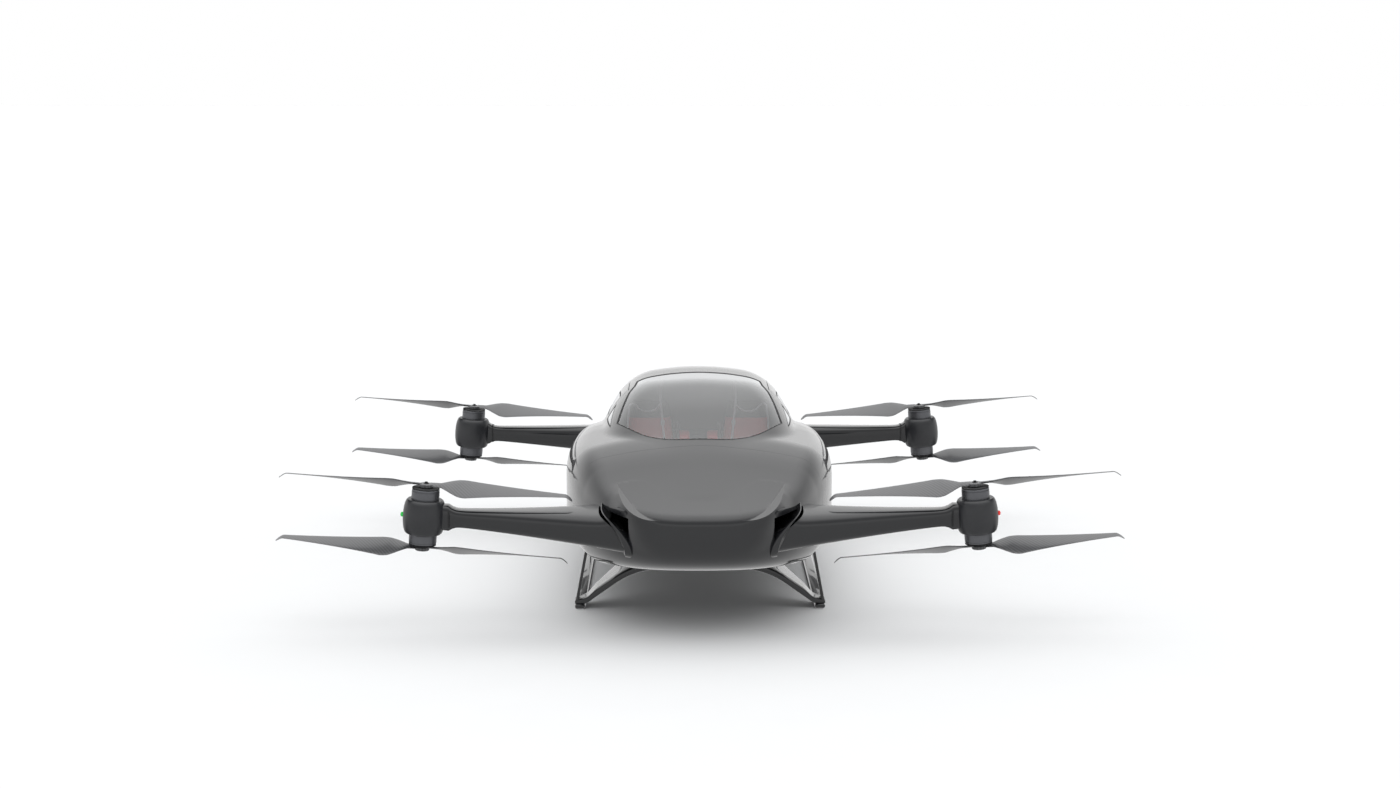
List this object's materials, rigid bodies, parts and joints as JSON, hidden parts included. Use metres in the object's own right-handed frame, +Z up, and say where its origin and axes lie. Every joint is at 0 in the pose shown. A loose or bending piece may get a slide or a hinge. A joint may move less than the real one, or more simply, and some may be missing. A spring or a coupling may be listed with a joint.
{
  "type": "two-seat multirotor air car",
  "caption": "Compact electric vertical take-off vehicle with a glazed two-seat cabin, coaxial rotors on four arms and landing skids",
  "frame": {"origin": "on the ground under the middle of the vehicle", "axes": "+Z up, nose towards -Y, +X is the vehicle's left side"},
  "size_m": [5.4138, 3.7258, 1.4307],
  "materials": {
    "gloss_paint": "high gloss dark paint",
    "tinted_glazing": "tinted, polished",
    "graphite_paint": "satin graphite",
    "motor_metal": "dark anodised",
    "carbon_blade": "satin carbon composite",
    "dark_trim": "matt",
    "seat_leather": "semi-matt with light piping",
    "battery_case": "matt",
    "green_lens": "clear coloured lens",
    "red_lens": "clear coloured lens"
  },
  "bodies": {
    "root": {"nose_cowl": "gloss_paint", "cabin_frame": "gloss_paint", "lower_tub": "gloss_paint", "tail_cowl": "gloss_paint", "arm_front_left": "gloss_paint", "arm_front_right": "gloss_paint", "arm_rear_left": "gloss_paint", "arm_rear_right": "gloss_paint", "skid_arch_front": "gloss_paint", "skid_arch_rear": "gloss_paint", "skid_left": "gloss_paint", "skid_right": "gloss_paint", "windscreen": "tinted_glazing", "quarter_glass_left": "tinted_glazing", "quarter_glass_right": "tinted_glazing", "pod_front_left": "graphite_paint", "pod_front_right": "graphite_paint", "pod_rear_left": "graphite_paint", "pod_rear_right": "graphite_paint", "motor_front_left_upper": "motor_metal", "motor_front_left_lower": "motor_metal", "motor_front_right_upper": "motor_metal", "motor_front_right_lower": "motor_metal", "motor_rear_left_upper": "motor_metal", "motor_rear_left_lower": "motor_metal", "motor_rear_right_upper": "motor_metal", "motor_rear_right_lower": "motor_metal", "door_hinge_left": "motor_metal", "door_hinge_right": "motor_metal", "cabin_floor": "dark_trim", "rear_bulkhead": "dark_trim", "dashboard": "dark_trim", "display": "dark_trim", "centre_console": "dark_trim", "seat_plinth_left": "dark_trim", "seat_plinth_right": "dark_trim", "seat_cushion_left": "seat_leather", "seat_cushion_right": "seat_leather", "seat_back_left": "seat_leather", "seat_back_right": "seat_leather", "battery_pack": "battery_case", "nav_light_right": "green_lens", "nav_light_left": "red_lens"},
    "door_left": {"door_left": "gloss_paint", "door_glass_left": "tinted_glazing"},
    "door_right": {"door_right": "gloss_paint", "door_glass_right": "tinted_glazing"},
    "prop_front_left_upper": {"prop_front_left_upper": "carbon_blade"},
    "prop_front_left_lower": {"prop_front_left_lower": "carbon_blade"},
    "prop_front_right_upper": {"prop_front_right_upper": "carbon_blade"},
    "prop_front_right_lower": {"prop_front_right_lower": "carbon_blade"},
    "prop_rear_left_upper": {"prop_rear_left_upper": "carbon_blade"},
    "prop_rear_left_lower": {"prop_rear_left_lower": "carbon_blade"},
    "prop_rear_right_upper": {"prop_rear_right_upper": "carbon_blade"},
    "prop_rear_right_lower": {"prop_rear_right_lower": "carbon_blade"}
  },
  "joints": [
    {"name": "door_left_open", "type": "hinge", "parent": "root", "child": "door_left", "pos_m": [0.492, 0, 1.32247], "axis": [0, -1, 0], "range_deg": [0, 78]},
    {"name": "door_right_open", "type": "hinge", "parent": "root", "child": "door_right", "pos_m": [-0.492, 0, 1.32247], "axis": [0, 1, 0], "range_deg": [0, 78]},
    {"name": "prop_front_left_upper_spin", "type": "hinge", "parent": "root", "child": "prop_front_left_upper", "pos_m": [1.74267, -1.5, 0.94927], "axis": [-0.0845, 0, 0.9964], "continuous": true},
    {"name": "prop_front_left_lower_spin", "type": "hinge", "parent": "root", "child": "prop_front_left_lower", "pos_m": [1.77733, -1.5, 0.54073], "axis": [-0.0845, 0, 0.9964], "continuous": true},
    {"name": "prop_front_right_upper_spin", "type": "hinge", "parent": "root", "child": "prop_front_right_upper", "pos_m": [-1.74267, -1.5, 0.94927], "axis": [0.0845, 0, 0.9964], "continuous": true},
    {"name": "prop_front_right_lower_spin", "type": "hinge", "parent": "root", "child": "prop_front_right_lower", "pos_m": [-1.77733, -1.5, 0.54073], "axis": [0.0845, 0, 0.9964], "continuous": true},
    {"name": "prop_rear_left_upper_spin", "type": "hinge", "parent": "root", "child": "prop_rear_left_upper", "pos_m": [1.74267, 1.5, 0.94927], "axis": [-0.0845, 0, 0.9964], "continuous": true},
    {"name": "prop_rear_left_lower_spin", "type": "hinge", "parent": "root", "child": "prop_rear_left_lower", "pos_m": [1.77733, 1.5, 0.54073], "axis": [-0.0845, 0, 0.9964], "continuous": true},
    {"name": "prop_rear_right_upper_spin", "type": "hinge", "parent": "root", "child": "prop_rear_right_upper", "pos_m": [-1.74267, 1.5, 0.94927], "axis": [0.0845, 0, 0.9964], "continuous": true},
    {"name": "prop_rear_right_lower_spin", "type": "hinge", "parent": "root", "child": "prop_rear_right_lower", "pos_m": [-1.77733, 1.5, 0.54073], "axis": [0.0845, 0, 0.9964], "continuous": true}
  ]
}
